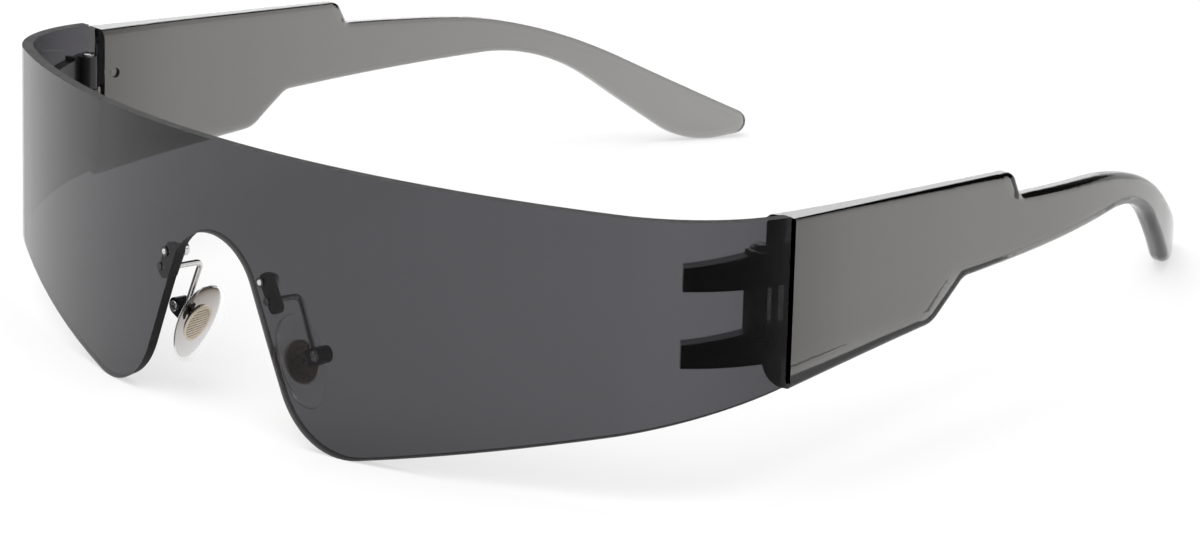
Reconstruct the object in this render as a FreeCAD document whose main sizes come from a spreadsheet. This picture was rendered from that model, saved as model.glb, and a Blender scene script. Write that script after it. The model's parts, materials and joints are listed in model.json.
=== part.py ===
"""Shield sunglasses: a one-piece rimless lens, two folding temples and two rocking nose pads.

Everything is drawn in the lens frame: x to the wearer's left, y from the face of the lens to the ears,
z up along the lens from the middle of its top edge. One rest placement then stands the whole object
on its two lens lobes and its two ear tips, as it lies on a table.
"""
import FreeCAD, Part
import math
import os
import re

import Sketcher
from FreeCAD import Placement, Rotation, Vector

# Driving dimensions, in millimetres and degrees
SIZES = {
    # Lens: three tangent arcs from above, cut to its outline from the front
    "lens_half_width": 74.0,
    "lens_thickness": 1.6,
    "front_radius": 141.0,
    "wrap_radius": 21.5,
    "wrap_angle": 89.0,
    "top_edge_rake": 1.0,
    "notch_depth": 12.7,
    "notch_radius": 9.1,
    "notch_angle": 24.5,
    "lobe_corner": 18.3,
    "lobe_radius": 12.0,
    "lower_edge_slope": 11.15,
    "lower_edge_rake": 11.5,
    # Fork bonded behind each lens end
    "fork_thickness": 1.9,
    "fork_top": 4.6,
    "finger_height": 4.8,
    "finger_start": 39.7,
    "finger_end": 5.0,
    "finger_slope": 9.7,
    "web_start": 14.8,
    "web_end": 12.8,
    # Hinge between fork and temple
    "knuckle_radius": 1.5,
    "knuckle_height": 4.7,
    "knuckle_play": 0.15,
    "hinge_gap": 0.6,
    "hinge_setback": 2.05,
    "hinge_pin_radius": 0.5,
    "hinge_head_radius": 1.05,
    "hinge_head_height": 0.4,
    "hinge_end_length": 0.3,
    "arm_reach": 1.0,
    # Temple seen from above
    "temple_gap": 0.65,
    "temple_inset": 0.2,
    "temple_thickness": 4.9,
    "front_skew": 0.67,
    "inner_root_at": 12.0,
    "root_thickness": 3.9,
    "inner_root_radius": 150.0,
    "ear_thickness": 2.7,
    "temple_lean": 3.4,
    "straight_run": 40.4,
    "ear_wrap_radius": 113.8,
    "ear_wrap_angle": 36.9,
    # Temple seen from the side: corners measured back from its front end and down from the lens's top
    "front_top_drop": 1.0,
    "toe_drop": 23.0,
    "lower_step_at": 27.4,
    "lower_step_drop": 19.25,
    "lower_step_radius": 4.0,
    "lower_root_at": 33.5,
    "lower_root_drop": 14.1,
    "lower_root_radius": 3.0,
    "waist_at": 77.6,
    "waist_drop": 10.7,
    "waist_radius": 24.0,
    "belly_at": 98.5,
    "belly_drop": 27.3,
    "belly_radius": 9.0,
    "ear_tip_at": 109.6,
    "ear_tip_drop": 24.2,
    "ear_tip_radius": 2.0,
    "ear_bend_at": 76.3,
    "ear_bend_drop": 6.0,
    "ear_bend_radius": 64.0,
    "upper_root_at": 44.6,
    "upper_root_drop": 4.8,
    "upper_root_radius": 0.9,
    "upper_step_at": 42.9,
    "upper_step_drop": 1.5,
    "upper_step_radius": 1.4,
    # Rounding of the temple's long edges, at its front end and from its upper step to the ear tip
    "inner_top_rounding": 1.5,
    "inner_toe_rounding": 3.3,
    "inner_ear_rounding": 1.2,
    "outer_front_rounding": 0.5,
    "outer_ear_rounding": 1.1,
    "dimple_at": 1.3,
    "dimple_drop": 7.45,
    "dimple_radius": 0.75,
    "dimple_depth": 0.8,
    # Pad arm fixed through the lens
    "mount_offset": 10.2,
    "mount_drop": 17.2,
    "bush_radius": 0.6,
    "bush_flange_radius": 0.72,
    "bush_flange": 0.15,
    "lens_screw_radius": 0.4,
    "lens_screw_stand": 0.12,
    "peg_distance": 2.64,
    "peg_angle": 28.0,
    "peg_radius": 0.55,
    "peg_stand": 0.1,
    "plate_gap": 0.08,
    "plate_thickness": 0.8,
    "plate_half_width": 1.1,
    "plate_length": 3.4,
    "plate_rounding": 0.95,
    "nut_radius": 0.95,
    "nut_height": 1.1,
    "nut_rounding": 0.5,
    "nut_bore_depth": 0.7,
    "wire_radius": 0.42,
    "wire_offset": 0.7,
    "wire_drop": 2.5,
    "wire_bend_radius": 1.0,
    "wire_reach": 3.1,
    # Pad, its core and the box that holds it
    "pad_offset": 11.5,
    "pad_setback": 7.0,
    "pad_drop": 28.5,
    "pad_splay": 24.0,
    "pad_half_length": 6.4,
    "pad_half_width": 3.6,
    "pad_half_thickness": 1.5,
    "core_half_length": 2.8,
    "core_half_width": 2.1,
    "core_thickness": 0.6,
    "lug_half_width": 0.4,
    "lug_half_height": 0.35,
    "lug_radius": 0.6,
    "pad_axis_reach": 4.4,
    "box_front_reach": 2.4,
    "box_wall": 0.45,
    "box_play": 0.12,
    "pad_screw_radius": 0.3,
    "pad_head_radius": 0.75,
    "pad_head_height": 0.35,
    # Fits, screw slots, and how far a cutting shape runs past what it cuts
    "fit_gap": 0.02,
    "running_fit": 0.05,
    "slot_width": 0.25,
    "slot_depth": 0.2,
    "overrun": 5.0,
}

# Lengths and angles that several pieces share, as expressions of the sizes
WRAP_X = "(lens_half_width - wrap_radius)"
WRAP_Y = f"(front_radius - sqrt((front_radius - wrap_radius)^2 - {WRAP_X}^2))"
WRAP_START = f"(asin({WRAP_X} / (front_radius - wrap_radius)) / 1 deg)"
APEX = "(notch_radius / sin(notch_angle) - notch_radius - notch_depth)"
LOBE = f"({APEX} - lobe_corner / tan(notch_angle))"
AXIS_X = "(lens_half_width - lens_thickness - hinge_gap - knuckle_radius)"
AXIS_Y = f"({WRAP_Y} - hinge_setback)"
MIDDLE_TOP = "(fork_top + finger_height + knuckle_play)"
LOWER_TOP = f"({MIDDLE_TOP} + knuckle_height + knuckle_play)"
FORK_DEPTH = f"({LOWER_TOP} + finger_height - fork_top)"
TEMPLE_OUTSIDE = "(lens_half_width - temple_inset)"
TEMPLE_FRONT = f"({WRAP_Y} + temple_gap)"
TEMPLE_INSIDE = f"({TEMPLE_OUTSIDE} - temple_thickness)"
HALF_WRAP = "tan(ear_wrap_angle / 2)"
OUTER_RUN = f"(straight_run + ear_wrap_radius * {HALF_WRAP})"
INNER_RUN = f"({OUTER_RUN} - ear_thickness * {HALF_WRAP})"
INNER_BEND_X = f"({TEMPLE_OUTSIDE} - {INNER_RUN} * sin(temple_lean) - ear_thickness * cos(temple_lean))"
INNER_BEND_Y = f"({TEMPLE_FRONT} + {INNER_RUN} * cos(temple_lean) - ear_thickness * sin(temple_lean))"
INNER_ROOT_X = f"({TEMPLE_OUTSIDE} - inner_root_at * sin(temple_lean) - root_thickness * cos(temple_lean))"
INNER_ROOT_Y = f"({TEMPLE_FRONT} + inner_root_at * cos(temple_lean) - root_thickness * sin(temple_lean))"
INNER_LEAN = f"(({TEMPLE_INSIDE} - {INNER_ROOT_X}) / ({INNER_ROOT_Y} - {TEMPLE_FRONT} + front_skew))"
PLATE_FACE = "(lens_thickness + plate_gap)"
PLATE_BACK = f"({PLATE_FACE} + plate_thickness)"
LUG_SPACE = "(lug_half_width + box_play)"
EYE_SPACE = "(lug_radius + box_play)"
BOX_HALF_WIDTH = f"({LUG_SPACE} + box_wall)"
BOX_HALF_HEIGHT = f"({EYE_SPACE} + box_wall)"

# How closely the object is levelled on its four feet, as a share of the fit gap
SEAT_SHARE = 0.01

# Most that a rounding of the temple takes of its wall at the root and ear, and of its tightest bends
ROOT_SHARE = 0.85
EAR_SHARE = 0.45
STEP_SHARE = 0.87
TIP_SHARE = 0.6

UP = Vector(0, 0, 1)
ACROSS = Vector(1, 0, 0)
BACK = Vector(0, 1, 0)
HERE = Vector(0, 0, 0)
TOP_VIEW = Rotation()
FRONT_VIEW = Rotation(ACROSS, 90)
SIDE_VIEW = Rotation(Vector(1, 1, 1), 120)
ALONG_X = Rotation(BACK, 90)
ALONG_Y = Rotation(ACROSS, -90)

doc = FreeCAD.newDocument("shield_sunglasses")
sheet = doc.addObject("Spreadsheet::Sheet", "Sizes")
for row, (alias, size) in enumerate(SIZES.items(), start=1):
    sheet.set(f"A{row}", alias)
    sheet.set(f"B{row}", str(size))
    sheet.setAlias(f"B{row}", alias)
doc.recompute()


def value(expression):
    """Number that an expression of the sizes gives."""
    result = sheet.evalExpression(expression)
    return getattr(result, "Value", result)


def cells(expression):
    """The same expression with every size pointed at its cell."""
    return re.sub(r"[a-z_]+", lambda word: f"Sizes.{word[0]}" if word[0] in SIZES else word[0], expression)


def point(x, y, z):
    """Vector whose coordinates are expressions."""
    return Vector(value(x), value(y), value(z))


def bind(thing, **expressions):
    """Tie properties of one document object to the sizes."""
    for name, expression in expressions.items():
        thing.setExpression(name, cells(expression))
    return thing


def placed(thing, placement):
    """Put a finished shape into its frame."""
    thing.Placement = placement
    return thing


def cylinder(name, radius, height, placement=Placement(), angle="360"):
    """Cylinder, or a sector of one, along its own z."""
    rod = doc.addObject("Part::Cylinder", name)
    return placed(bind(rod, Radius=radius, Height=height, Angle=angle), placement)


def cross_rod(name, radius, x, y, z, length):
    """Cylinder along y, from one point."""
    return cylinder(name, radius, length, Placement(point(x, y, z), ALONG_Y))


def box(name, corner, length, width, height):
    """Box from its lowest corner."""
    block = doc.addObject("Part::Box", name)
    return placed(bind(block, Length=length, Width=width, Height=height), Placement(point(*corner), TOP_VIEW))


def join(name, *pieces):
    """One solid from touching or overlapping solids."""
    union = doc.addObject("Part::MultiFuse", name)
    union.Shapes = list(pieces)
    union.Refine = True
    return union


def cut(name, base, *tools):
    """Base with every tool taken out of it."""
    for count, tool in enumerate(tools, start=1):
        remainder = doc.addObject("Part::Cut", name if count == len(tools) else f"{name}_cut_{count}")
        remainder.Base = base
        remainder.Tool = tool
        base = remainder
    return base


def common(name, first, second):
    """What two solids share."""
    shared = doc.addObject("Part::Common", name)
    shared.Base = first
    shared.Tool = second
    return shared


def mirror(name, source):
    """Copy on the other side of the nose."""
    other = doc.addObject("Part::Mirroring", name)
    other.Source = source
    other.Normal = ACROSS
    return other


def ring_sector(name, centre, outside, thickness, start, sweep, top, height):
    """Upright piece of a ring, hung from its top."""
    low = Placement(point(*centre, f"-({top}) - {height}"), Rotation(UP, value(start)))
    sector = cylinder(f"{name}_outside", outside, height, low, sweep)
    inside = cylinder(f"{name}_inside", f"{outside} - {thickness}", height, low)
    return cut(name, sector, inside)


def round_corner(corner, before, after, radius):
    """Arc that rounds a corner, its two ends along the outline, and which end comes first."""
    back = (before - corner).normalize()
    ahead = (after - corner).normalize()
    half = back.getAngle(ahead) / 2
    centre = corner + (back + ahead).normalize() * (radius / math.sin(half))
    entry = corner + back * (radius / math.tan(half))
    leave = corner + ahead * (radius / math.tan(half))
    anticlockwise = (corner - before).cross(after - corner).z > 0
    ends = (entry, leave) if anticlockwise else (leave, entry)
    angles = [math.atan2(end.y - centre.y, end.x - centre.x) for end in ends]
    arc = Part.ArcOfCircle(Part.Circle(centre, UP, radius), *angles)
    return arc, entry, leave, 1 if anticlockwise else 2


def outline(sketch, corners):
    """Closed outline through corners of (name, x, y, rounding), every one tied to the sizes."""
    places = [point(x, y, "0") for name, x, y, rounding in corners]
    count = len(corners)
    arcs = {}
    for index, (name, x, y, rounding) in enumerate(corners):
        if rounding:
            following = places[(index + 1) % count]
            arcs[index] = round_corner(places[index], places[index - 1], following, value(rounding))
    lines = []
    for index, place in enumerate(places):
        following = (index + 1) % count
        start = arcs[index][2] if index in arcs else place
        end = arcs[following][1] if following in arcs else places[following]
        lines.append(sketch.addGeometry(Part.LineSegment(start, end)))

    def tie(label, expression, *constraint):
        """Named constraint that follows an expression."""
        number = sketch.addConstraint(Sketcher.Constraint(*constraint, value(expression)))
        sketch.renameConstraint(number, label)
        sketch.setExpression(f"Constraints.{label}", cells(expression))

    for index, (name, x, y, rounding) in enumerate(corners):
        before, after = lines[index - 1], lines[index]
        if rounding:
            arc, entry = sketch.addGeometry(arcs[index][0]), arcs[index][3]
            spot = sketch.addGeometry(Part.Point(places[index]), True)
            sketch.addConstraint(Sketcher.Constraint("Tangent", before, 2, arc, entry))
            sketch.addConstraint(Sketcher.Constraint("Tangent", arc, 3 - entry, after, 1))
            sketch.addConstraint(Sketcher.Constraint("PointOnObject", spot, 1, before))
            sketch.addConstraint(Sketcher.Constraint("PointOnObject", spot, 1, after))
            tie(f"{name}_rounding", rounding, "Radius", arc)
        else:
            spot = after
            sketch.addConstraint(Sketcher.Constraint("Coincident", before, 2, after, 1))
        tie(f"{name}_x", x, "DistanceX", spot, 1)
        tie(f"{name}_y", y, "DistanceY", spot, 1)
    return sketch


def drawing(name, view, corners):
    """Sketch of one outline, free in a view's plane through the origin."""
    sketch = doc.addObject("Sketcher::SketchObject", name)
    return outline(placed(sketch, Placement(HERE, view)), corners)


def extrusion(name, profile, direction, ahead, behind="0"):
    """Solid swept from a closed profile along one direction."""
    solid = doc.addObject("Part::Extrusion", name)
    solid.Base = profile
    solid.DirMode = "Custom"
    solid.Dir = direction
    solid.Solid = True
    return bind(solid, LengthFwd=ahead, LengthRev=behind)


def turned(name, corners):
    """Body turned about its own y from a half section of (name, radius, y, rounding)."""
    body = doc.addObject("PartDesign::Body", name)
    plane = next(feature for feature in body.Origin.OriginFeatures if feature.Role == "XY_Plane")
    sketch = body.newObject("Sketcher::SketchObject", f"{name}_section")
    sketch.AttachmentSupport = (plane, [""])
    sketch.MapMode = "FlatFace"
    outline(sketch, corners)
    turning = body.newObject("PartDesign::Revolution", f"{name}_turning")
    turning.Profile = sketch
    turning.ReferenceAxis = (sketch, ["V_Axis"])
    turning.Angle = 360
    return body


def mount_frame():
    """Frame on the face of the lens at the pad arm's screw, y into the lens."""
    depth = "front_radius - sqrt(front_radius^2 - mount_offset^2)"
    turn = value("asin(mount_offset / front_radius)")
    return Placement(point("mount_offset", depth, "-mount_drop"), Rotation(UP, turn))


def plate_frame():
    """Mount frame turned so that its z runs up from the peg to the screw."""
    return mount_frame().multiply(Placement(HERE, Rotation(BACK, -value("peg_angle"))))


def pad_frame():
    """Frame at the middle of the pad: x away from the nose, z up along the pad."""
    return Placement(point("pad_offset", "pad_setback", "-pad_drop"), Rotation(BACK, -value("pad_splay")))


def pad_axis_frame():
    """Pad frame moved to the axis of the pad's screw."""
    return pad_frame().multiply(Placement(point("pad_axis_reach", "0", "0"), TOP_VIEW))


def make_lens():
    """One-piece shield: a bent band of even thickness, cut to its outline and drilled for the pad arms."""
    height = f"(2 * overrun - {LOBE})"
    front = ring_sector("lens_front", ("0", "front_radius"), "front_radius", "lens_thickness",
                        f"-90 - {WRAP_START}", f"2 * {WRAP_START}", "-overrun", height)
    left = ring_sector("lens_wrap", (WRAP_X, WRAP_Y), "wrap_radius", "lens_thickness",
                       f"{WRAP_START} - 90", f"wrap_angle - {WRAP_START}", "-overrun", height)
    band = join("lens_band", front, left, mirror("lens_other_wrap", left))

    reach = "(lens_half_width + overrun)"
    edge = f"({LOBE} + ({reach} - lobe_corner) * tan(lower_edge_slope))"
    roof = "2 * overrun"
    face = drawing("lens_outline", FRONT_VIEW, [
        ("left_top", reach, roof, None),
        ("right_top", f"-{reach}", roof, None),
        ("right_edge", f"-{reach}", edge, None),
        ("right_lobe", "-lobe_corner", LOBE, "lobe_radius"),
        ("notch", "0", APEX, "notch_radius"),
        ("left_lobe", "lobe_corner", LOBE, "lobe_radius"),
        ("left_edge", reach, edge, None),
    ])
    rearward = Rotation(ACROSS, value("lower_edge_rake")).multVec(BACK)
    cutter = extrusion("lens_cutter", face, rearward, f"2 * {WRAP_Y}", "overrun")
    above = box("lens_above", (f"-{reach}", "-overrun", "0"), f"2 * {reach}", f"2 * {WRAP_Y}", "2 * overrun")
    raked = Rotation(ACROSS, -value("top_edge_rake"))
    placed(above, Placement(HERE, raked).multiply(above.Placement))
    blank = common("lens_blank", band, cutter)

    through = "lens_thickness + 2 * overrun"
    screw_hole = cross_rod("screw_hole", "bush_radius + fit_gap", "0", "-overrun", "0", through)
    peg_hole = cross_rod("peg_hole", "peg_radius + running_fit", "0", "-overrun", "-peg_distance", through)
    placed(screw_hole, mount_frame().multiply(screw_hole.Placement))
    placed(peg_hole, plate_frame().multiply(peg_hole.Placement))
    holes = [screw_hole, peg_hole]
    holes += [mirror(f"other_{hole.Name}", hole) for hole in holes]
    return cut("lens", blank, above, *holes)


def make_fork():
    """End piece behind the lens: two tapering fingers on one web, each ending in a hinge knuckle."""
    centre = (WRAP_X, WRAP_Y)
    outside = "(wrap_radius - lens_thickness)"
    ahead = f"({WRAP_Y} - wrap_radius)"
    pieces = [ring_sector("web", centre, outside, "fork_thickness", "-web_start",
                          "web_start - web_end", "fork_top", FORK_DEPTH)]
    for place, top in (("upper", "fork_top"), ("lower", LOWER_TOP)):
        finger = ring_sector(f"{place}_bar", centre, outside, "fork_thickness", "-finger_start",
                             "finger_start - finger_end", top, "finger_height")
        slope = drawing(f"{place}_slope", SIDE_VIEW, [
            ("root", AXIS_Y, f"-{top}", None),
            ("root_top", AXIS_Y, f"overrun - {top}", None),
            ("start_top", ahead, f"overrun - {top}", None),
            ("start", ahead, f"-{top} - ({AXIS_Y} - {ahead}) * tan(finger_slope)", None),
        ])
        waste = extrusion(f"{place}_waste", slope, ACROSS, "lens_half_width + overrun")
        pieces.append(cut(f"{place}_finger", finger, waste))
        low = Placement(point(AXIS_X, AXIS_Y, f"-{top} - finger_height"), TOP_VIEW)
        pieces.append(cylinder(f"{place}_knuckle", "knuckle_radius", "finger_height", low))
    low = Placement(point(AXIS_X, AXIS_Y, f"-fork_top - {FORK_DEPTH} - overrun"), TOP_VIEW)
    bore = cylinder("fork_bore", "hinge_pin_radius + fit_gap", f"{FORK_DEPTH} + 2 * overrun", low)
    return cut("fork", join("fork_blank", *pieces), bore)


def make_hinge_screw():
    """Hinge pin with a slotted pan head, standing in the knuckles."""
    end = f"-{FORK_DEPTH} - hinge_end_length"
    pin = turned("hinge_pin", [
        ("end_middle", "0", end, None),
        ("end_rim", "hinge_pin_radius", end, None),
        ("neck", "hinge_pin_radius", "0", None),
        ("seat", "hinge_head_radius", "0", None),
        ("head_rim", "hinge_head_radius", "hinge_head_height", "hinge_head_height / 2"),
        ("head_middle", "0", "hinge_head_height", None),
    ])
    slot = box("hinge_slot", ("-hinge_head_radius", "hinge_head_height - slot_depth", "-slot_width / 2"),
               "2 * hinge_head_radius", "overrun", "slot_width")
    frame = Placement(point(AXIS_X, AXIS_Y, "-fork_top"), FRONT_VIEW)
    return placed(cut("hinge_screw", pin, slot), frame)


def make_temple_blank():
    """Temple as what its plan and its side view share."""
    tip_run = f"(ear_wrap_radius * {HALF_WRAP} + overrun)"
    outer_x = f"({TEMPLE_OUTSIDE} - {OUTER_RUN} * sin(temple_lean))"
    outer_y = f"({TEMPLE_FRONT} + {OUTER_RUN} * cos(temple_lean))"
    tip_x = f"{tip_run} * sin(temple_lean + ear_wrap_angle)"
    tip_y = f"{tip_run} * cos(temple_lean + ear_wrap_angle)"
    plan = drawing("temple_plan", TOP_VIEW, [
        ("outer_front", TEMPLE_OUTSIDE, TEMPLE_FRONT, None),
        ("outer_bend", outer_x, outer_y, "ear_wrap_radius"),
        ("outer_tip", f"{outer_x} - {tip_x}", f"{outer_y} + {tip_y}", None),
        ("inner_tip", f"{INNER_BEND_X} - {tip_x}", f"{INNER_BEND_Y} + {tip_y}", None),
        ("inner_bend", INNER_BEND_X, INNER_BEND_Y, "ear_wrap_radius - ear_thickness"),
        ("inner_root", INNER_ROOT_X, INNER_ROOT_Y, "inner_root_radius"),
        ("inner_front", TEMPLE_INSIDE, f"{TEMPLE_FRONT} - front_skew", None),
    ])
    slab = extrusion("temple_slab", plan, -UP, "belly_drop + overrun")

    corners = [
        ("front_top", "-front_skew", "front_top_drop", None),
        ("front_toe", "-front_skew", "toe_drop", None),
        ("lower_step", "lower_step_at", "lower_step_drop", "lower_step_radius"),
        ("lower_root", "lower_root_at", "lower_root_drop", "lower_root_radius"),
        ("waist", "waist_at", "waist_drop", "waist_radius"),
        ("belly", "belly_at", "belly_drop", "belly_radius"),
        ("ear_tip", "ear_tip_at", "ear_tip_drop", "ear_tip_radius"),
        ("ear_bend", "ear_bend_at", "ear_bend_drop", "ear_bend_radius"),
        ("upper_root", "upper_root_at", "upper_root_drop", "upper_root_radius"),
        ("upper_step", "upper_step_at", "upper_step_drop", "upper_step_radius"),
    ]
    side = drawing("temple_side", SIDE_VIEW, [
        (name, f"{TEMPLE_FRONT} + {along}", f"-({drop})", rounding)
        for name, along, drop, rounding in corners
    ])
    shape = extrusion("temple_shape", side, ACROSS, "lens_half_width + overrun")
    return common("temple_blank", slab, shape)


def round_temple(blank):
    """Round the temple's long edges, the inner lower one most of all at the front."""
    doc.recompute()
    shape = blank.Shape
    front, step = value(TEMPLE_FRONT), value("upper_step_at")
    most_at_front = value("root_thickness") * ROOT_SHARE
    most_at_ear = min(value("ear_thickness") * EAR_SHARE, value("upper_step_radius") * STEP_SHARE,
                      value("ear_tip_radius") * TIP_SHARE)

    def rounding(at_front, at_ear, corner):
        """Rounding of an edge where it passes a corner, limited by the walls."""
        first, last = min(value(at_front), most_at_front), min(value(at_ear), most_at_ear)
        along = min(max((corner.Y - front) / step, 0), 1)
        return first + (last - first) * along

    edges = []
    for number, edge in enumerate(shape.Edges, start=1):
        middle = edge.valueAt((edge.FirstParameter + edge.LastParameter) / 2)
        normals = [face.normalAt(*face.Surface.parameter(middle))
                   for face in shape.ancestorsOfType(edge, Part.Face)]
        upright = [normal.x for normal in normals if abs(normal.x) > abs(normal.y)]
        if len(upright) != 1 or edge.BoundBox.YMax < front + value("fit_gap"):
            continue
        if upright[0] > 0:
            ends = "outer_front_rounding", "outer_ear_rounding"
        elif sum(normal.z for normal in normals) > 0:
            ends = "inner_top_rounding", "inner_ear_rounding"
        else:
            ends = "inner_toe_rounding", "inner_ear_rounding"
        edges.append((number, *(rounding(*ends, corner) for corner in (edge.Vertexes[0], edge.Vertexes[-1]))))
    rounded = doc.addObject("Part::Fillet", "temple_rounded")
    rounded.Base = blank
    rounded.Edges = edges
    return rounded


def make_temple():
    """Temple with its hinge arm, the middle knuckle and the mould mark inside."""
    body = round_temple(make_temple_blank())
    low = f"-{MIDDLE_TOP} - knuckle_height"
    axis = Placement(point(AXIS_X, AXIS_Y, low), TOP_VIEW)
    knuckle = cylinder("middle_knuckle", "knuckle_radius", "knuckle_height", axis)
    arm = box("hinge_arm", (AXIS_X, AXIS_Y, low), "knuckle_radius",
              f"{TEMPLE_FRONT} - {AXIS_Y} + arm_reach", "knuckle_height")
    below = Placement(point(AXIS_X, AXIS_Y, f"{low} - overrun"), TOP_VIEW)
    bore = cylinder("temple_bore", "hinge_pin_radius + running_fit", "knuckle_height + 2 * overrun", below)
    inside = f"{TEMPLE_INSIDE} - (dimple_at + front_skew) * {INNER_LEAN} - overrun"
    mark = Placement(point(inside, f"{TEMPLE_FRONT} + dimple_at", "-dimple_drop"), ALONG_X)
    dimple = cylinder("dimple", "dimple_radius", "dimple_depth + overrun", mark)
    return cut("temple_whole", join("temple_with_knuckle", body, arm, knuckle), bore, dimple)


def make_bush():
    """Sleeve in the lens, with a thin flange on the face of the lens."""
    bore = "lens_screw_radius + fit_gap"
    return placed(turned("bush", [
        ("flange_bore", bore, "-bush_flange", None),
        ("flange_rim", "bush_flange_radius", "-bush_flange", None),
        ("flange_seat", "bush_flange_radius", "0", None),
        ("sleeve_root", "bush_radius", "0", None),
        ("sleeve_end", "bush_radius", "lens_thickness", None),
        ("bore_end", bore, "lens_thickness", None),
    ]), mount_frame())


def make_lens_screw():
    """Screw through the bush and the plate, its polished end standing out of the face."""
    face = "-bush_flange - lens_screw_stand"
    end = f"{PLATE_BACK} + nut_bore_depth"
    return placed(turned("mount_screw", [
        ("face_middle", "0", face, None),
        ("face_rim", "lens_screw_radius", face, "lens_screw_stand"),
        ("end_rim", "lens_screw_radius", end, None),
        ("end_middle", "0", end, None),
    ]), mount_frame())


def make_nut():
    """Cap nut on the plate, with a blind bore for the screw."""
    bore = "lens_screw_radius + fit_gap"
    top = f"{PLATE_BACK} + nut_height"
    floor = f"{PLATE_BACK} + nut_bore_depth"
    return placed(turned("cap_nut", [
        ("seat_bore", bore, PLATE_BACK, None),
        ("seat_rim", "nut_radius", PLATE_BACK, None),
        ("dome_rim", "nut_radius", top, "nut_rounding"),
        ("dome_middle", "0", top, None),
        ("floor_middle", "0", floor, None),
        ("floor_rim", bore, floor, None),
    ]), mount_frame())


def make_plate():
    """Oblong plate behind the lens, with the peg that keeps the arm from turning."""
    low = "-plate_length - plate_half_width"
    shape = drawing("plate_outline", FRONT_VIEW, [
        ("low_right", "-plate_half_width", low, "plate_rounding"),
        ("low_left", "plate_half_width", low, "plate_rounding"),
        ("high_left", "plate_half_width", "plate_half_width", "plate_rounding"),
        ("high_right", "-plate_half_width", "plate_half_width", "plate_rounding"),
    ])
    slab = extrusion("plate_slab", shape, BACK, "plate_thickness")
    placed(slab, Placement(point("0", PLATE_FACE, "0"), TOP_VIEW))
    peg = cross_rod("peg", "peg_radius", "0", "-peg_stand", "-peg_distance", f"peg_stand + {PLATE_BACK}")
    hole = cross_rod("plate_hole", "lens_screw_radius + fit_gap", "0", "-overrun", "0", "3 * overrun")
    return placed(cut("plate", join("plate_blank", slab, peg), hole), plate_frame())


def make_box():
    """Box that carries the pad's screw: round behind, open in front and below for the lug of the core."""
    block = box("box_block", ("box_front_reach", f"-{BOX_HALF_WIDTH}", f"-{BOX_HALF_HEIGHT}"),
                "pad_axis_reach - box_front_reach", f"2 * {BOX_HALF_WIDTH}", f"2 * {BOX_HALF_HEIGHT}")
    barrel = cross_rod("box_barrel", BOX_HALF_HEIGHT, "pad_axis_reach", f"-{BOX_HALF_WIDTH}", "0",
                       f"2 * {BOX_HALF_WIDTH}")
    slot = box("box_slot", ("-overrun", f"-{LUG_SPACE}", "-overrun"),
               "overrun + pad_axis_reach", f"2 * {LUG_SPACE}", f"overrun + {EYE_SPACE}")
    pocket = cross_rod("box_pocket", EYE_SPACE, "pad_axis_reach", f"-{LUG_SPACE}", "0", f"2 * {LUG_SPACE}")
    bore = cross_rod("box_bore", "pad_screw_radius + fit_gap", "pad_axis_reach", "-overrun", "0",
                     "2 * overrun")
    return placed(cut("channel", join("box_blank", block, barrel), slot, pocket, bore), pad_frame())


def make_wire(plate, channel):
    """Round wire from the plate to the box: straight back, one bend, then down to the box's roof."""
    aside = "(mount_offset + wire_offset)"
    start = point(aside, "pad_setback", "-mount_drop - wire_drop")
    end = pad_frame().multVec(point("wire_reach", "0", BOX_HALF_HEIGHT))
    lean = math.degrees(math.atan2(end.x - start.x, start.z - end.z))
    lens_face = f"(front_radius - sqrt(front_radius^2 - {aside}^2))"
    level = f"(pad_setback - {lens_face} - {PLATE_FACE} - plate_thickness / 2)"
    first = cross_rod("wire_level", "wire_radius", "0", f"-{level}", "0", f"{level} - wire_bend_radius")
    bend = doc.addObject("Part::Torus", "wire_bend")
    bind(bend, Radius1="wire_bend_radius", Radius2="wire_radius", Angle3="90")
    placed(bend, Placement(point("0", "-wire_bend_radius", "-wire_bend_radius"), SIDE_VIEW))
    fall = (end - start).Length + value("box_wall") / 2 - value("wire_bend_radius")
    second = cylinder("wire_fall", "wire_radius", str(fall))
    placed(second, Placement(Vector(0, 0, -value("wire_bend_radius") - fall), TOP_VIEW))
    whole = placed(join("wire_whole", first, bend, second), Placement(start, Rotation(BACK, -lean)))
    return cut("wire", whole, plate, channel)


def make_pad_screw():
    """Short slotted screw across the box."""
    head = f"-{BOX_HALF_WIDTH} - pad_head_height"
    screw = turned("cross_screw", [
        ("head_middle", "0", head, None),
        ("head_rim", "pad_head_radius", head, "pad_head_height / 2"),
        ("seat", "pad_head_radius", f"-{BOX_HALF_WIDTH}", None),
        ("neck", "pad_screw_radius", f"-{BOX_HALF_WIDTH}", None),
        ("end_rim", "pad_screw_radius", BOX_HALF_WIDTH, None),
        ("end_middle", "0", BOX_HALF_WIDTH, None),
    ])
    slot = box("pad_slot", ("-pad_head_radius", f"{head} - overrun", "-slot_width / 2"),
               "2 * pad_head_radius", "overrun + slot_depth", "slot_width")
    return placed(cut("pad_cross_screw", screw, slot), pad_axis_frame())


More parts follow.
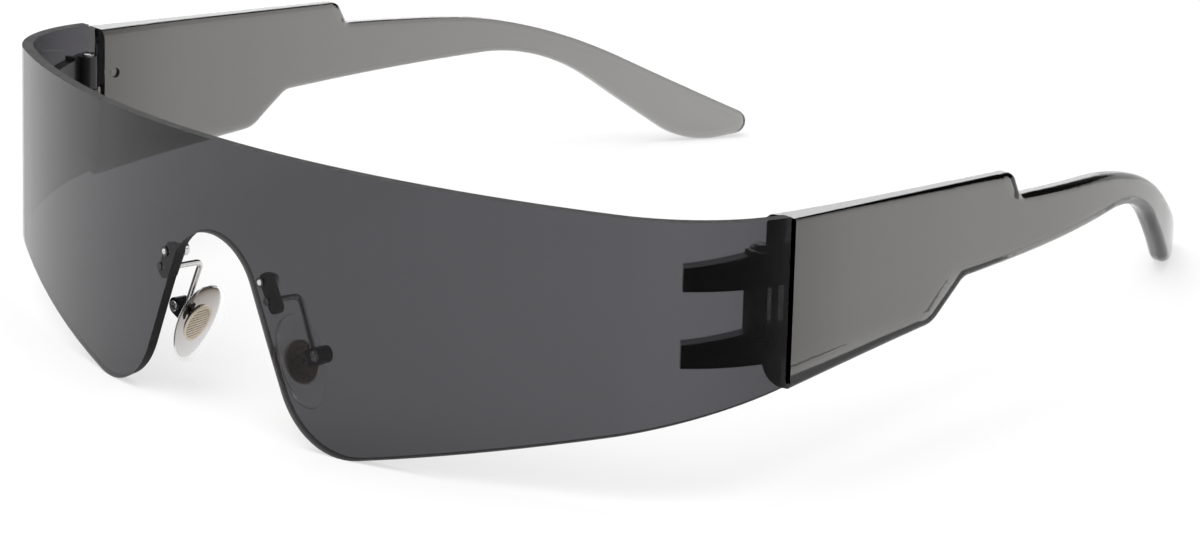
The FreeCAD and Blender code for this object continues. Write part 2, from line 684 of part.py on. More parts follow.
def make_core():
    """Oval core inside the pad, with the lug that hangs on the pad's screw."""
    rim = doc.addObject("Part::Ellipse", "core_rim")
    bind(rim, MajorRadius="core_half_length", MinorRadius="core_half_width")
    placed(rim, Placement(point("-core_thickness / 2", "0", "0"), Rotation(BACK, -90)))
    oval = extrusion("core_oval", rim, ACROSS, "core_thickness")
    stem = box("lug_stem", ("0", "-lug_half_width", "-lug_half_height"),
               "pad_axis_reach", "2 * lug_half_width", "2 * lug_half_height")
    eye = cross_rod("lug_eye", "lug_radius", "pad_axis_reach", "-lug_half_width", "0", "2 * lug_half_width")
    bore = cross_rod("lug_bore", "pad_screw_radius + running_fit", "pad_axis_reach", "-overrun", "0",
                     "2 * overrun")
    return placed(cut("core", join("core_blank", oval, stem, eye), bore), pad_frame())


def make_pad(core):
    """Soft oval pad moulded round its core."""
    pillow = doc.addObject("Part::Ellipsoid", "pad_pillow")
    bind(pillow, Radius1="pad_half_length", Radius2="pad_half_thickness", Radius3="pad_half_width")
    return cut("pad", placed(pillow, pad_frame()), core)


def rest_placement(lens, temple):
    """Tilt and lift that set the lens lobes and the ear tips on the table, centred over the origin."""
    def spread(shape, tilt):
        """Exact box of a shape once the object is tilted."""
        turned_shape = shape.transformGeometry(Placement(HERE, Rotation(ACROSS, tilt)).toMatrix())
        return turned_shape.optimalBoundingBox()

    def gap(tilt):
        """How much higher the ear tips stand than the lens lobes."""
        return spread(temple, tilt).ZMin - spread(lens, tilt).ZMin

    before, tilt = 0.0, -math.degrees(math.atan2(gap(0.0), value("ear_tip_at")))
    gap_before, gap_now = gap(before), gap(tilt)
    while abs(gap_now) > value("fit_gap") * SEAT_SHARE:
        before, tilt = tilt, tilt - gap_now * (tilt - before) / (gap_now - gap_before)
        gap_before, gap_now = gap_now, gap(tilt)
    front, back = spread(lens, tilt), spread(temple, tilt)
    middle = (front.YMin + back.YMax) / 2
    return Placement(Vector(0, -middle, -min(front.ZMin, back.ZMin)), Rotation(ACROSS, tilt))


lens = make_lens()
temple = make_temple()
plate = make_plate()
channel = make_box()
core = make_core()
pairs = {
    "lens_fork": make_fork(),
    "hinge_screw": make_hinge_screw(),
    "temple": temple,
    "lens_bush": make_bush(),
    "lens_screw": make_lens_screw(),
    "lens_nut": make_nut(),
    "pad_plate": plate,
    "pad_wire": make_wire(plate, channel),
    "pad_box": channel,
    "pad_screw": make_pad_screw(),
    "pad_core": core,
    "nose_pad": make_pad(core),
}
doc.recompute()
rest = rest_placement(lens.Shape, temple.Shape)


def finished(label, feature, source):
    """Sub-part at rest under its own label."""
    piece = doc.addObject(feature, f"final_{label}")
    piece.Source = source
    piece.Label = label
    return placed(piece, rest)


pieces = [finished("shield_lens", "Part::Refine", lens)]
for label, source in pairs.items():
    pieces.append(finished(f"{label}_left", "Part::Refine", source))
    other = finished(f"{label}_right", "Part::Mirroring", source)
    other.Normal = ACROSS
    pieces.append(other)
doc.recompute()

for thing in doc.Objects:
    if {"Invalid", "Error"} & set(thing.State):
        raise RuntimeError(f"{thing.Label} failed")
for piece in pieces:
    shape = piece.Shape
    if shape.isNull() or not shape.isValid() or len(shape.Solids) != 1:
        raise RuntimeError(f"{piece.Label} isn't one sound solid")

os.makedirs("parts", exist_ok=True)
for piece in pieces:
    piece.Shape.exportStep(f"parts/{piece.Label}.step")

hinge = rest.multVec(point(AXIS_X, AXIS_Y, "0"))
pad_hinge = rest.multVec(pad_axis_frame().Base)
print("rest tilt", rest.Rotation.toEuler()[2], "rest base", rest.Base)
print("left hinge", hinge, "left pad axis", pad_hinge)
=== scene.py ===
"""Looks of the shield sunglasses: finishes, pads, inserts, floor, light and camera."""

import json
import logging
import math
from dataclasses import dataclass
from enum import Enum

import bmesh
import bpy
from mathutils import Euler, Matrix, Vector


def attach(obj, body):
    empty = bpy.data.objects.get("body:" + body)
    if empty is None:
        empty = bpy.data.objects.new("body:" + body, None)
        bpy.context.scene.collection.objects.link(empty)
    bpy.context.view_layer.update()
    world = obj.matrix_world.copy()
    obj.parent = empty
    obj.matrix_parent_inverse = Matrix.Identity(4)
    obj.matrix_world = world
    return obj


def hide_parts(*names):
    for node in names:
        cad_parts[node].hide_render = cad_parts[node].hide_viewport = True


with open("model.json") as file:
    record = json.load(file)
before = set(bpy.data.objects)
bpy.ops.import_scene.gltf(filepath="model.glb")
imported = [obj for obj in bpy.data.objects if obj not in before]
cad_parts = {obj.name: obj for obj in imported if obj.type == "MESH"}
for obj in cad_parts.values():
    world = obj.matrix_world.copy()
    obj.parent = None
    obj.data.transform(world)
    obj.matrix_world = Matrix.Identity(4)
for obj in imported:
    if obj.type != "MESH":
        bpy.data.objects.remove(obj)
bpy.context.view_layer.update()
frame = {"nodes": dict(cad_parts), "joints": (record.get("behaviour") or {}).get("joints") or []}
LOG = logging.getLogger("shield_sunglasses")

Pair = tuple[float, float]
Triple = tuple[float, float, float]
Colour = Triple
Colours = tuple[Colour, Colour]
Socket = bpy.types.NodeSocket

MM = 0.001
UNIT: Pair = (0.0, 1.0)
WHITE: Colour = (1.0, 1.0, 1.0)
NOISE_SPAN: Pair = (0.3, 0.7)  # where most noise values lie
SOLID_DETAIL = 4.0  # finer layers of an opaque finish's noise
CLEAR_DETAIL = 2.0  # finer layers of a see-through finish's noise
SMOOTHEST_SHARE = 0.8  # least share of a see-through finish's roughness
SHARP_DEG = 35.0  # corners sharper than this stay sharp
QUARTER_TURN = math.radians(90.0)


class Side(Enum):
    """The wearer's two sides, each with the sign of its x."""

    LEFT = 1
    RIGHT = -1

    @property
    def word(self) -> str:
        """The side's name as the nodes end in it."""
        return self.name.lower()


class Graph:
    """One node tree, with short ways to add and join nodes."""

    def __init__(self, tree: bpy.types.NodeTree, output: str) -> None:
        """Empty a tree and give it an output.

        Args:
            tree: the node tree.
            output: type of its output node.
        """
        self.tree = tree
        self.tree.nodes.clear()
        self.output = self.add(output)

    def add(self, kind: str, **settings: object) -> bpy.types.Node:
        """Add a node.

        Args:
            kind: the node's type.
            settings: its properties, or its inputs by name with spaces as underscores.

        Returns:
            The new node.
        """
        node = self.tree.nodes.new(kind)
        for key, setting in settings.items():
            socket = node.inputs.get(key.replace("_", " "))
            if socket is None:
                setattr(node, key, setting)
            else:
                socket.default_value = setting
        return node

    def join(self, source: Socket, target: Socket) -> None:
        """Link one socket to another.

        Args:
            source: the output.
            target: the input.
        """
        self.tree.links.new(source, target)

    def surface(self, shader: Socket) -> None:
        """Use a shader as the tree's surface.

        Args:
            shader: the shader's socket.
        """
        self.join(shader, self.output.inputs["Surface"])

    def mixed(self, share: Socket, first: Socket, second: Socket) -> Socket:
        """Mix two shaders.

        Args:
            share: how much of the second shows.
            first: shader at 0.
            second: shader at 1.

        Returns:
            The mixed shader's socket.
        """
        mix = self.add("ShaderNodeMixShader")
        for source, target in zip((share, first, second), mix.inputs):
            self.join(source, target)
        return mix.outputs[0]

    def maths(self, operation: str, *values: Socket | float) -> Socket:
        """Calculate with values.

        Args:
            operation: what is done with them.
            values: sockets or fixed numbers.

        Returns:
            The result's socket.
        """
        node = self.add("ShaderNodeMath", operation=operation)
        for value, target in zip(values, node.inputs):
            if isinstance(value, Socket):
                self.join(value, target)
            else:
                target.default_value = value
        return node.outputs[0]

    def ranged(self, value: Socket, source: Pair, target: Pair) -> Socket:
        """Map a value smoothly from one range to another.

        Args:
            value: the value's socket.
            source: its range.
            target: the results at the two ends.

        Returns:
            The mapped value's socket.
        """
        span = self.add(
            "ShaderNodeMapRange",
            interpolation_type="SMOOTHSTEP",
            From_Min=source[0],
            From_Max=source[1],
            To_Min=target[0],
            To_Max=target[1],
        )
        self.join(value, span.inputs["Value"])
        return span.outputs["Result"]

    def noise(self, scale: float, detail: float) -> Socket:
        """Soft noise fixed to the piece.

        Args:
            scale: how many features to a metre.
            detail: how many finer layers it has.

        Returns:
            The noise value's socket.
        """
        place = self.add("ShaderNodeTexCoord")
        noise = self.add("ShaderNodeTexNoise", Scale=scale, Detail=detail)
        self.join(place.outputs["Object"], noise.inputs["Vector"])
        return noise.outputs["Fac"]

    def reach(self, coordinate: str, direction: Triple) -> Socket:
        """How far a texture coordinate reaches along a direction.

        Args:
            coordinate: the coordinate's name.
            direction: the direction, of length 1.

        Returns:
            The distance's socket.
        """
        place = self.add("ShaderNodeTexCoord")
        dot = self.add("ShaderNodeVectorMath", operation="DOT_PRODUCT")
        dot.inputs[1].default_value = direction
        self.join(place.outputs[coordinate], dot.inputs[0])
        return dot.outputs["Value"]

    def ramp(self, share: Socket, places: Pair, colours: Colours) -> Socket:
        """Colour from a share.

        Args:
            share: the share's socket.
            places: shares at which the two colours are reached.
            colours: the two colours.

        Returns:
            The colour's socket.
        """
        ramp = self.add("ShaderNodeValToRGB")
        for element, place, colour in zip(ramp.color_ramp.elements, places, colours):
            element.position = place
            element.color = (*colour, 1.0)
        self.join(share, ramp.inputs["Fac"])
        return ramp.outputs["Color"]

    def bump(self, height: Socket, distance: float) -> Socket:
        """Turn a height into a normal.

        Args:
            height: the height's socket.
            distance: the height that 1 stands for, in metres.

        Returns:
            The normal's socket.
        """
        bump = self.add("ShaderNodeBump", Strength=1.0, Distance=distance)
        self.join(height, bump.inputs["Height"])
        return bump.outputs["Normal"]

    def rays(self, *kinds: str) -> Socket:
        """Whether a ray is of one of some kinds.

        Args:
            kinds: names of the light path outputs.

        Returns:
            The socket, 1 for such a ray.
        """
        path = self.add("ShaderNodeLightPath")
        found = path.outputs[kinds[0]]
        for kind in kinds[1:]:
            found = self.maths("MAXIMUM", found, path.outputs[kind])
        return found


def finish_graph(name: str) -> tuple[bpy.types.Material, Graph]:
    """Start a material.

    Args:
        name: the material's name.

    Returns:
        The material and its graph.
    """
    material = bpy.data.materials.new(name)
    material.use_nodes = True
    return material, Graph(material.node_tree, "ShaderNodeOutputMaterial")


@dataclass(frozen=True)
class Solid:
    """Opaque plastic, lacquer or metal.

    Args:
        name: the material's name.
        colours: darkest and lightest colour.
        metallic: 1 for bare metal.
        roughness: least and greatest roughness.
        grain: features to a metre.
        ripple: height of the surface grain, in metres.
        specular: level of its plain reflection.
    """

    name: str
    colours: Colours
    metallic: float
    roughness: Pair
    grain: float
    ripple: float
    specular: float = 0.5

    def shader(self, graph: Graph) -> Socket:
        """Add this finish to a graph.

        Args:
            graph: the graph.

        Returns:
            The shader's socket.
        """
        shader = graph.add(
            "ShaderNodeBsdfPrincipled",
            Metallic=self.metallic,
            Specular_IOR_Level=self.specular,
        )
        noise = graph.noise(self.grain, SOLID_DETAIL)
        colour = graph.ramp(noise, NOISE_SPAN, self.colours)
        roughness = graph.ranged(noise, NOISE_SPAN, self.roughness)
        graph.join(colour, shader.inputs["Base Color"])
        graph.join(roughness, shader.inputs["Roughness"])
        graph.join(graph.bump(noise, self.ripple), shader.inputs["Normal"])
        return shader.outputs["BSDF"]

    def material(self) -> bpy.types.Material:
        """Make the material.

        Returns:
            The new material.
        """
        material, graph = finish_graph(self.name)
        graph.surface(self.shader(graph))
        return material


@dataclass(frozen=True)
class Fade:
    """How a see-through finish changes along the piece.

    Args:
        direction: direction of the change.
        span: distances along it where the change starts and ends, in metres.
        colours: surface colour at the two ends.
    """

    direction: Triple
    span: Pair
    colours: Colours

    def colour(self, graph: Graph) -> Socket:
        """Add the changing colour to a graph.

        Args:
            graph: the graph.

        Returns:
            The colour's socket.
        """
        share = graph.ranged(graph.reach("Object", self.direction), self.span, UNIT)
        return graph.ramp(share, UNIT, self.colours)


@dataclass(frozen=True)
class Rim:
    """The cut edges of a see-through piece.

    Args:
        finish: their finish outside.
        dim: share of light that they pass where they are seen through the piece,
        a painted shade for the dark lines that refraction makes there.
        upright: direction that the piece's broad faces run along.
        tilt: reach of the normal along it up to which a face is broad, and from
            which it is a cut edge.
    """

    finish: Solid
    dim: float
    upright: Triple
    tilt: Pair

    def share(self, graph: Graph) -> Socket:
        """Find the faces that cross the upright, which are the cut edges.

        Args:
            graph: the graph.

        Returns:
            The socket, 1 on a cut edge.
        """
        tilt = graph.maths("ABSOLUTE", graph.reach("Normal", self.upright))
        return graph.ranged(tilt, self.tilt, UNIT)

    def shader(self, graph: Graph) -> Socket:
        """Add the look of the cut edges: their finish outside, dim from inside.

        Args:
            graph: the graph.

        Returns:
            The shader's socket.
        """
        # Painted shade: from inside, the cut edges pass only this share of the light.
        level = (self.dim, self.dim, self.dim, 1.0)
        dim = graph.add("ShaderNodeBsdfTransparent", Color=level)
        inside = graph.add("ShaderNodeNewGeometry").outputs["Backfacing"]
        return graph.mixed(inside, self.finish.shader(graph), dim.outputs["BSDF"])


@dataclass(frozen=True)
class SeeThrough:
    """Clear or tinted plastic that darkens with the depth that light crosses.

    Args:
        name: the material's name.
        clear_share: colour left after one depth.
        depth: that depth, in metres.
        ior: refractive index.
        gloss: share of the plain reflection that its surface keeps.
        roughness: roughness of its surface.
        grain: features of its faint unevenness to a metre.
        fade: change of its surface colour along the piece; on the lens and the temples this
            change is painted light.
        rim: its cut edges, if they have a look of their own.
    """

    name: str
    clear_share: Colour
    depth: float
    ior: float
    gloss: Colour
    roughness: float
    grain: float
    fade: Fade
    rim: Rim | None = None

    def material(self) -> bpy.types.Material:
        """Make the material.

        Returns:
            The new material.
        """
        material, graph = finish_graph(self.name)
        shader = graph.add(
            "ShaderNodeBsdfPrincipled",
            IOR=self.ior,
            Transmission_Weight=1.0,
            Specular_Tint=(*self.gloss, 1.0),
        )
        noise = graph.noise(self.grain, CLEAR_DETAIL)
        limits = (self.roughness * SMOOTHEST_SHARE, self.roughness)
        graph.join(self.fade.colour(graph), shader.inputs["Base Color"])
        graph.join(graph.ranged(noise, NOISE_SPAN, limits), shader.inputs["Roughness"])
        body = shader.outputs["BSDF"]
        if self.rim is not None:
            body = graph.mixed(self.rim.share(graph), body, self.rim.shader(graph))
        graph.surface(body)
        self.absorb(graph)
        return material

    def absorb(self, graph: Graph) -> None:
        """Add the darkening with depth to a graph.

        Args:
            graph: the graph.
        """
        losses = [-math.log(part) / self.depth for part in self.clear_share]
        density = max(losses)
        tint = [1.0 - loss / density for loss in losses]
        volume = graph.add(
            "ShaderNodeVolumeAbsorption", Color=(*tint, 1.0), Density=density
        )
        graph.join(volume.outputs["Volume"], graph.output.inputs["Volume"])


Finish = Solid | SeeThrough

SATIN_EDGE = Solid(
    name="lens_edge",
    colours=((0.016, 0.016, 0.016), (0.024, 0.024, 0.025)),
    metallic=0.0,
    roughness=(0.4, 0.5),
    grain=900.0,
    ripple=2e-6,
    specular=0.02,
)
LENS_TINT = SeeThrough(
    name="lens_tint",
    clear_share=(0.09, 0.089, 0.096),
    depth=1.8 * MM,
    ior=1.50,
    gloss=(0.145, 0.138, 0.141),
    roughness=0.0,
    grain=60.0,
    # Painted reflection: the base colour is lighter towards the lens's end at negative x,
    # standing in for the bright grazing reflection there; elsewhere it is the lens's own grey
    # tint.
    fade=Fade(
        direction=(1.0, 0.0, 0.0),
        span=(-0.073, -0.062),
        colours=((1.0, 0.98, 0.98), (0.872, 0.872, 0.877)),
    ),
    rim=Rim(
        finish=SATIN_EDGE,
        # Painted shade: seen through the lens, its cut edges pass only this share of the light.
        dim=0.15,
        upright=(0.0, 0.08654, 0.99625),
        tilt=(0.1, 0.14),
    ),
)
SMOKE = SeeThrough(
    name="smoke_plastic",
    clear_share=(0.135, 0.132, 0.126),
    depth=4.6 * MM,
    ior=1.49,
    gloss=WHITE,
    roughness=0.02,
    grain=90.0,
    # Painted light: the base colour is a little lighter towards the temples' front, at negative
    # y, than farther back.
    fade=Fade(
        direction=(0.0, 1.0, 0.0),
        span=(-0.04, 0.0),
        colours=(WHITE, (0.985, 0.985, 0.985)),
    ),
)
SILICONE = SeeThrough(
    name="clear_silicone",
    clear_share=(0.96, 0.955, 0.95),
    depth=4.0 * MM,
    ior=1.17,
    gloss=WHITE,
    roughness=0.03,
    grain=900.0,
    fade=Fade(
        direction=(0.0, 0.0, 1.0),
        span=(0.004, 0.018),
        colours=(WHITE, (0.98, 0.97, 0.97)),
    ),
)
BLACK = Solid(
    name="black_plastic",
    colours=((0.006, 0.006, 0.006), (0.011, 0.011, 0.011)),
    metallic=0.0,
    roughness=(0.1, 0.18),
    grain=700.0,
    ripple=1e-6,
    specular=0.45,
)
LACQUER = Solid(
    name="dark_metal",
    colours=((0.01, 0.01, 0.011), (0.014, 0.014, 0.015)),
    metallic=0.0,
    roughness=(0.12, 0.24),
    grain=1500.0,
    ripple=5e-7,
    specular=0.25,
)
POLISHED = Solid(
    name="polished_metal",
    colours=((0.62, 0.61, 0.6), (0.74, 0.73, 0.72)),
    metallic=1.0,
    roughness=(0.06, 0.16),
    grain=2500.0,
    ripple=1e-6,
)
TURNED = Solid(
    name="screw_steel",
    colours=((0.5, 0.5, 0.5), (0.66, 0.66, 0.66)),
    metallic=1.0,
    roughness=(0.14, 0.3),
    grain=3000.0,
    ripple=2e-6,
)
DARK_STEEL = Solid(
    name="hinge_steel",
    colours=((0.3, 0.3, 0.3), (0.4, 0.4, 0.4)),
    metallic=1.0,
    roughness=(0.12, 0.2),
    grain=3000.0,
    ripple=2e-6,
)
CORE_METAL = Solid(
    name="core_metal",
    colours=((0.2, 0.155, 0.115), (0.28, 0.22, 0.165)),
    metallic=1.0,
    roughness=(0.24, 0.36),
    grain=3000.0,
    ripple=1e-6,
)
GOLD = Solid(
    name="gold_metal",
    colours=((0.86, 0.76, 0.6), (0.96, 0.88, 0.76)),
    metallic=0.4,
    roughness=(0.3, 0.42),
    grain=3000.0,
    ripple=2e-6,
)
FINISHES: dict[str, Finish] = {
    "shield_lens": LENS_TINT,
    "lens_fork": BLACK,
    "hinge_screw": DARK_STEEL,
    "temple": SMOKE,
    "lens_bush": BLACK,
    "lens_screw": TURNED,
    "lens_nut": POLISHED,
    "pad_plate": LACQUER,
    "pad_wire": POLISHED,
    "pad_box": LACQUER,
    "pad_screw": TURNED,
    "pad_core": CORE_METAL,
    "nose_pad": SILICONE,
}


class Palette:
    """The finishes' materials, each made once."""

    def __init__(self) -> None:
        """Start with none."""
        self.made: dict[str, bpy.types.Material] = {}

    def material(self, finish: Finish) -> bpy.types.Material:
        """A finish's material.

        Args:
            finish: the finish.

        Returns:
            Its material.
        """
        if finish.name not in self.made:
            self.made[finish.name] = finish.material()
        return self.made[finish.name]


def settle(
    form: bmesh.types.BMesh, name: str, body: str, finish: Finish, palette: Palette
) -> bpy.types.Object:
    """Turn a finished form into a piece that rides on a body.

    Args:
        form: the form, in the shared frame, which is freed.
        name: the piece's name.
        body: the body that carries it.
        finish: its finish.
        palette: where its material comes from.

    Returns:
        The new piece.
    """
    bmesh.ops.recalc_face_normals(form, faces=form.faces)
    for face in form.faces:
        face.smooth = True
    mesh = bpy.data.meshes.new(name)
    form.to_mesh(mesh)
    form.free()
    mesh.set_sharp_from_angle(angle=math.radians(SHARP_DEG))
    mesh.materials.append(palette.material(finish))
    piece = bpy.data.objects.new(name, mesh)
    bpy.context.scene.collection.objects.link(piece)
    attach(piece, body)
    LOG.info("built %s", name)
    return piece


def dress(node: str, material: bpy.types.Material) -> None:
    """Give a frame node its finish.

    Args:
        node: the node's name.
        material: its finish.
    """
    for slot in frame["nodes"][node].material_slots:
        slot.material = material
    LOG.info("dressed %s", node)


@dataclass
class NosePad:
    """A soft clear pad with the ribbed insert that shows through its face.

    Args:
        side: the wearer's side that it is on.
        lug: distance from the rocking axis to the pad's middle, in metres.
        lean_deg: how far the pad's foot leans, in degrees.
        half_width: half the pad's width, in metres.
        half_length: half its length, in metres.
        half_thickness: half its thickness, in metres.
        toe_taper: share by which its foot is narrower and its head wider.
        rim_steps: steps from its head to its foot.
        outline_steps: steps round it.
        insert_half_width: half the insert's width, in metres.
        insert_half_length: half its length, in metres.
        insert_face: distance of its ribs from the pad's middle, in metres.
        insert_rim: radius of its raised rim's section, in metres.
        insert_rim_steps: steps round that section.
        insert_turn_steps: steps along the rim.
        ribs: number of its ribs.
        rib_steps: steps round a rib.
        rib_share: radius of a rib as a share of the distance between ribs.
    """

    side: Side
    lug: float = 4.4 * MM
    lean_deg: float = -24.0
    half_width: float = 3.7 * MM
    half_length: float = 6.4 * MM
    half_thickness: float = 1.5 * MM
    toe_taper: float = 0.08
    rim_steps: int = 40
    outline_steps: int = 72
    insert_half_width: float = 2.3 * MM
    insert_half_length: float = 2.8 * MM
    insert_face: float = 0.34 * MM
    insert_rim: float = 0.2 * MM
    insert_rim_steps: int = 10
    insert_turn_steps: int = 48
    ribs: int = 11
    rib_steps: int = 8
    rib_share: float = 0.27

    @property
    def body(self) -> str:
        """The body that carries this pad."""
        return f"pad_{self.side.word}"

    def seat(self) -> Matrix:
        """Where the pad sits.

        Returns:
            The turn and place from the pad's own axes, with x away from the nose
            and z up, to the shared frame.
        """
        name = f"{self.side.word}_pad_rock"
        joint = next(joint for joint in frame["joints"] if joint["name"] == name)
        axis = Vector(joint["axis"]) * self.side.value
        turn = Matrix.Rotation(math.atan2(axis.z, axis.y), 4, "X")
        turn = turn @ Matrix.Rotation(math.radians(self.lean_deg), 4, "Y")
        flip = Matrix.Diagonal((self.side.value, 1.0, 1.0, 1.0))
        pivot = Matrix.Translation(flip @ Vector(joint["pos_m"]))
        return flip @ pivot @ turn @ Matrix.Translation((-self.lug, 0.0, 0.0))

    def build(self, palette: Palette) -> None:
        """Make the pad and its insert.

        Args:
            palette: where their materials come from.
        """
        word = self.side.word
        pad = settle(self.cushion(), f"clear_pad_{word}", self.body, SILICONE, palette)
        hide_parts(f"nose_pad_{self.side.word}")
        settle(self.insert(), f"ribbed_insert_{word}", self.body, GOLD, palette)

    def cushion(self) -> bmesh.types.BMesh:
        """Make the soft pad: a flat oval that is a little narrower at its foot.

        Returns:
            The pad, in the shared frame.
        """
        form = bmesh.new()
        bmesh.ops.create_uvsphere(
            form,
            u_segments=self.outline_steps,
            v_segments=self.rim_steps,
            radius=1.0,
        )
        halves = (self.half_thickness, self.half_width, self.half_length)
        bmesh.ops.scale(form, vec=halves, verts=form.verts)
        for vert in form.verts:
            vert.co.y *= 1.0 + self.toe_taper * vert.co.z / self.half_length
        form.transform(self.seat())
        return form

    def insert(self) -> bmesh.types.BMesh:
        """Make the insert's raised oval rim and the fine ribs across it.

        Returns:
            The insert, in the shared frame.
        """
        form = bmesh.new()
        self.add_rim(form)
        self.add_ribs(form)
        upright = Matrix(
            (
                (0.0, 0.0, 1.0, -self.insert_face),
                (1.0, 0.0, 0.0, 0.0),
                (0.0, 1.0, 0.0, 0.0),
                (0.0, 0.0, 0.0, 1.0),
            )
        )
        form.transform(self.seat() @ upright)
        return form

    def add_rim(self, form: bmesh.types.BMesh) -> None:
        """Add the raised oval rim to a form that is still empty.

        Args:
            form: the form, in the insert's own axes.
        """
        middle = (self.insert_half_width, 0.0, 0.0)
        ring = bmesh.ops.create_circle(
            form,
            cap_ends=False,
            radius=self.insert_rim,
            segments=self.insert_rim_steps,
            matrix=Matrix.Translation(middle),
        )["verts"]
        loop = ring + list({edge for vert in ring for edge in vert.link_edges})
        bmesh.ops.rotate(
            form,
            cent=middle,
            verts=ring,
            matrix=Matrix.Rotation(QUARTER_TURN, 3, "X"),
        )
        bmesh.ops.spin(
            form,
            geom=loop,
            cent=(0.0, 0.0, 0.0),
            axis=(0.0, 0.0, 1.0),
            dvec=(0.0, 0.0, 0.0),
            angle=math.tau,
            steps=self.insert_turn_steps,
            use_merge=True,
            use_duplicate=False,
        )
        stretch = self.insert_half_length / self.insert_half_width
        for vert in form.verts:
            vert.co.y *= stretch

    def add_ribs(self, form: bmesh.types.BMesh) -> None:
        """Add the ribs, each as long as the oval is wide there.

        Args:
            form: the form, in the insert's own axes.
        """
        pitch = 2.0 * self.insert_half_length / (self.ribs + 1)
        radius = self.rib_share * pitch
        across = Matrix.Rotation(QUARTER_TURN, 4, "Y")
        for number in range(self.ribs):
            level = -self.insert_half_length + (number + 1) * pitch
            share = math.sqrt(1.0 - (level / self.insert_half_length) ** 2)
            bmesh.ops.create_cone(
                form,
                cap_ends=True,
                segments=self.rib_steps,
                radius1=radius,
                radius2=radius,
                depth=2.0 * (self.insert_half_width * share),
                matrix=Matrix.Translation((0.0, level, 0.0)) @ across,
            )


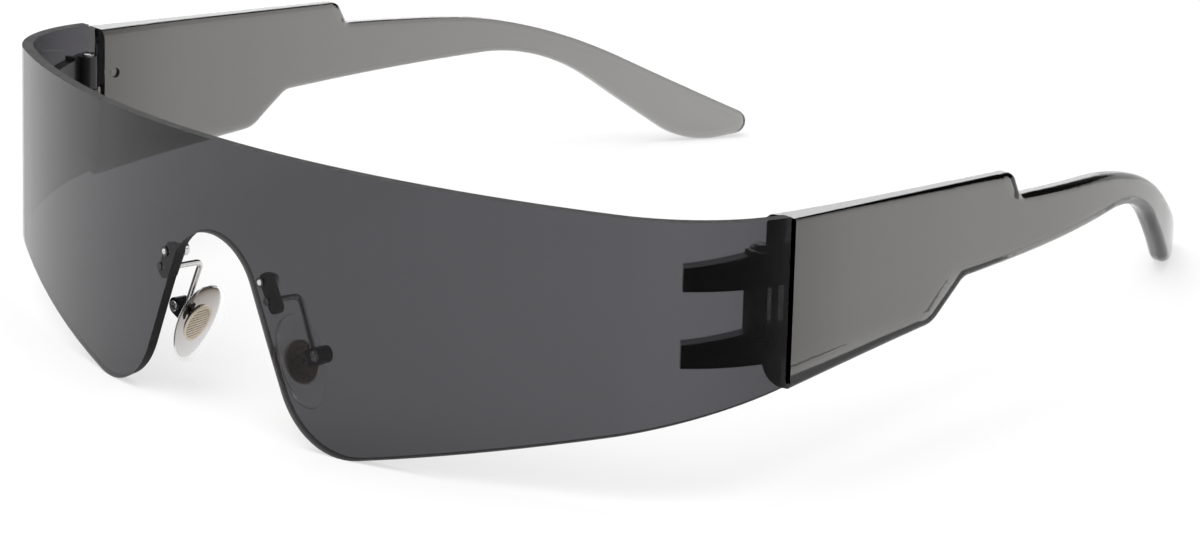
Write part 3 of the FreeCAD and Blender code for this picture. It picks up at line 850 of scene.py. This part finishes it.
@dataclass
class Studio:
    """Pale floor, white surroundings with one dark flag, and a wide lamp overhead.

    Args:
        floor_half_width: half the floor's width, in metres.
        floor_colour: colour of its paper.
        floor_glow: share of plain white in the floor where it is seen.
        surround: light of the surroundings.
        flag_towards: direction of the dark flag.
        flag_half_deg: half its angle outside and inside its soft border.
        flag_level: light of the flag.
        glow_towards: direction of a brighter patch.
        glow_half_deg: half its angle outside and inside its soft border.
        glow_level: light that the patch adds.
        lamp_size: width of the lamp, in metres.
        lamp_height: its height, in metres.
        lamp_power: its power, in watts.
    """

    floor_half_width: float = 6.0
    floor_colour: Colour = (0.93, 0.93, 0.93)
    floor_glow: float = 0.6
    surround: float = 1.0
    flag_towards: Triple = (-0.05, 0.66, 0.75)
    flag_half_deg: Pair = (41.0, 35.0)
    flag_level: float = 0.03
    glow_towards: Triple = (-0.75, 0.6, 0.24)
    glow_half_deg: Pair = (22.0, 10.0)
    glow_level: float = 1.0
    lamp_size: float = 1.6
    lamp_height: float = 1.5
    lamp_power: float = 16.0

    def build(self) -> None:
        """Make the floor, the surroundings and the lamp."""
        self.floor()
        self.surroundings()
        lamp = bpy.data.lights.new("overhead", "AREA")
        lamp.size = self.lamp_size
        lamp.energy = self.lamp_power
        holder = bpy.data.objects.new("overhead", lamp)
        holder.location = (0.0, 0.0, self.lamp_height)
        bpy.context.scene.collection.objects.link(holder)
        LOG.info("lit the studio")

    def floor(self) -> None:
        """Make the floor, which shows the shadows faintly on white."""
        mesh = bpy.data.meshes.new("floor")
        form = bmesh.new()
        bmesh.ops.create_grid(
            form, x_segments=1, y_segments=1, size=self.floor_half_width
        )
        form.to_mesh(mesh)
        form.free()
        floor = bpy.data.objects.new("floor", mesh)
        bpy.context.scene.collection.objects.link(floor)
        material, graph = finish_graph("floor_paper")
        paper = graph.add("ShaderNodeBsdfDiffuse", Color=(*self.floor_colour, 1.0))
        white = graph.add("ShaderNodeEmission", Color=(*WHITE, 1.0), Strength=1.0)
        seen = graph.rays("Is Camera Ray", "Is Glossy Ray", "Is Transmission Ray")
        share = graph.maths("MULTIPLY", seen, self.floor_glow)
        graph.surface(
            graph.mixed(share, paper.outputs["BSDF"], white.outputs["Emission"])
        )
        mesh.materials.append(material)

    def surroundings(self) -> None:
        """Make the surroundings, white where they are seen directly."""
        world = bpy.data.worlds.new("studio")
        bpy.context.scene.world = world
        world.use_nodes = True
        graph = Graph(world.node_tree, "ShaderNodeOutputWorld")
        levels = (self.surround, self.flag_level)
        flag = self.patch(graph, self.flag_towards, self.flag_half_deg, levels)
        levels = (0.0, self.glow_level)
        glow = self.patch(graph, self.glow_towards, self.glow_half_deg, levels)
        level = graph.maths("ADD", flag, glow)
        room = graph.add("ShaderNodeBackground", Color=(*WHITE, 1.0))
        graph.join(level, room.inputs["Strength"])
        plain = graph.add("ShaderNodeBackground", Color=(*WHITE, 1.0), Strength=1.0)
        seen = graph.rays("Is Camera Ray", "Is Transmission Ray")
        graph.surface(
            graph.mixed(seen, room.outputs["Background"], plain.outputs["Background"])
        )

    @staticmethod
    def patch(graph: Graph, towards: Triple, half_deg: Pair, levels: Pair) -> Socket:
        """Make a round patch of the surroundings.

        Args:
            graph: the surroundings' graph.
            towards: direction of its middle.
            half_deg: half its angle outside and inside its soft border.
            levels: light outside and inside it.

        Returns:
            The level's socket.
        """
        near = tuple(math.cos(math.radians(angle)) for angle in half_deg)
        reach = graph.reach("Generated", Vector(towards).normalized())
        return graph.ranged(reach, near, levels)


@dataclass
class Viewpoint:
    """Camera at the photograph's viewpoint.

    Args:
        place: where it stands, in metres.
        turn_deg: how it is turned, in degrees.
        focal_mm: its focal length.
        sensor_mm: its sensor's width.
        clip: nearest and farthest distance that it shows, in metres.
    """

    place: Triple = (0.457429, -0.4082214, 0.1989524)
    turn_deg: Triple = (72.34501, 2.10523, 47.65787)
    focal_mm: float = 135.962
    sensor_mm: float = 36.0
    clip: Pair = (0.01, 50.0)

    def build(self) -> None:
        """Make the camera and use it."""
        camera = bpy.data.cameras.new("viewpoint")
        camera.lens = self.focal_mm
        camera.sensor_width = self.sensor_mm
        camera.clip_start, camera.clip_end = self.clip
        holder = bpy.data.objects.new("viewpoint", camera)
        turn = Euler([math.radians(angle) for angle in self.turn_deg])
        holder.matrix_world = Matrix.Translation(self.place) @ turn.to_matrix().to_4x4()
        bpy.context.scene.collection.objects.link(holder)
        bpy.context.scene.camera = holder


def main() -> None:
    """Dress every node, build the pads, then set the floor, light and camera."""
    logging.basicConfig(level=logging.INFO)
    bpy.context.scene.view_settings.view_transform = "Standard"
    palette = Palette()
    for node in sorted(frame["nodes"]):
        kind = node.removesuffix("_left").removesuffix("_right")
        dress(node, palette.material(FINISHES[kind]))
    for side in Side:
        NosePad(side).build(palette)
    Studio().build()
    Viewpoint().build()


if __name__ == "__main__":
    main()
